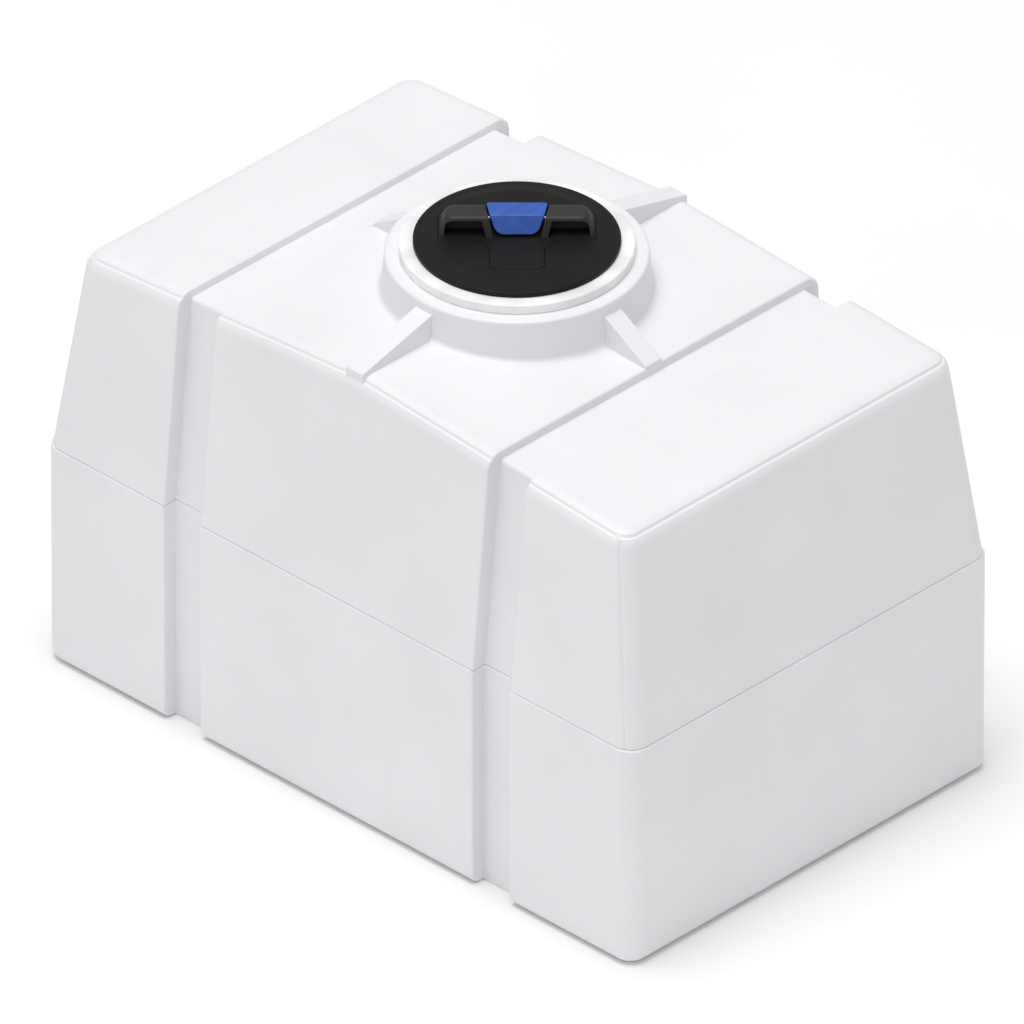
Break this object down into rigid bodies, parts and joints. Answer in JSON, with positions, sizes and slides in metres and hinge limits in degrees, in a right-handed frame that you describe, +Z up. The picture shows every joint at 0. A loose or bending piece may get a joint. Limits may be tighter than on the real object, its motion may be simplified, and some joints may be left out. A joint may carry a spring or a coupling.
{
  "type": "fresh water tank",
  "caption": "Box-shaped moulded water tank with tapered upper half, strap grooves, round manway and a bayonet lid with a sprung release paddle.",
  "frame": {"origin": "on the floor, at the middle of the tank's bounding box", "axes": "+Z up, +X along the tank's length away from the outlet, +Y towards the tank's back"},
  "size_m": [0.822, 0.52, 0.588],
  "materials": {
    "tank_polyethylene": "rotationally moulded, satin",
    "ring_polypropylene": "injection moulded, satin",
    "lid_polypropylene": "injection moulded, fine texture",
    "paddle_blue": "injection moulded, semi-gloss",
    "dark_nylon": "injection moulded",
    "seal_rubber": "matt",
    "filter_foam": "open cell foam",
    "stainless_steel": "passivated"
  },
  "bodies": {
    "tank": {"tank_shell": "tank_polyethylene", "manway_ring": "ring_polypropylene", "ring_gasket": "seal_rubber", "ring_locknut": "ring_polypropylene", "outlet_body": "lid_polypropylene", "outlet_gasket": "seal_rubber", "outlet_nut": "lid_polypropylene"},
    "lid_seal": {"lid_gasket": "seal_rubber"},
    "lid": {"lid_cover": "lid_polypropylene", "lid_base": "lid_polypropylene", "grip_handle": "lid_polypropylene", "bolt_guide": "dark_nylon", "bolt_spring": "stainless_steel", "paddle_pin": "stainless_steel", "paddle_spring": "stainless_steel", "vent_valve": "seal_rubber", "vent_filter": "filter_foam", "cover_screw_1": "stainless_steel", "cover_screw_2": "stainless_steel", "cover_screw_3": "stainless_steel", "cover_screw_4": "stainless_steel", "handle_screw_1": "stainless_steel", "handle_screw_2": "stainless_steel", "handle_screw_3": "stainless_steel", "handle_screw_4": "stainless_steel", "guide_screw_1": "stainless_steel", "guide_screw_2": "stainless_steel", "guide_screw_3": "stainless_steel", "guide_screw_4": "stainless_steel"},
    "paddle": {"release_paddle": "paddle_blue"},
    "bolt": {"latch_bolt": "dark_nylon"}
  },
  "joints": [
    {"name": "lid_lift", "type": "slide", "parent": "tank", "child": "lid_seal", "axis": [0, 0, 1], "range_m": [0, 0.25]},
    {"name": "lid_turn", "type": "hinge", "parent": "lid_seal", "child": "lid", "pos_m": [0, 0, 0.5588], "axis": [0, 0, 1], "range_deg": [-45, 0]},
    {"name": "paddle_press", "type": "hinge", "parent": "lid", "child": "paddle", "pos_m": [-0.00627, 0.00645, 0.5812], "axis": [0.7169, 0.6972, 0], "range_deg": [0, 12], "stiffness_Nm_per_rad": 0.2, "springref_deg": -11.46, "deforming": ["paddle_spring"]},
    {"name": "bolt_slide", "type": "slide", "parent": "lid", "child": "bolt", "axis": [-0.6972, 0.7169, 0], "range_m": [0, 0.0078], "deforming": ["bolt_spring"]}
  ],
  "couplings": [
    {"joint": "bolt_slide", "follows": "paddle_press", "m_per_rad": 0.0372}
  ]
}
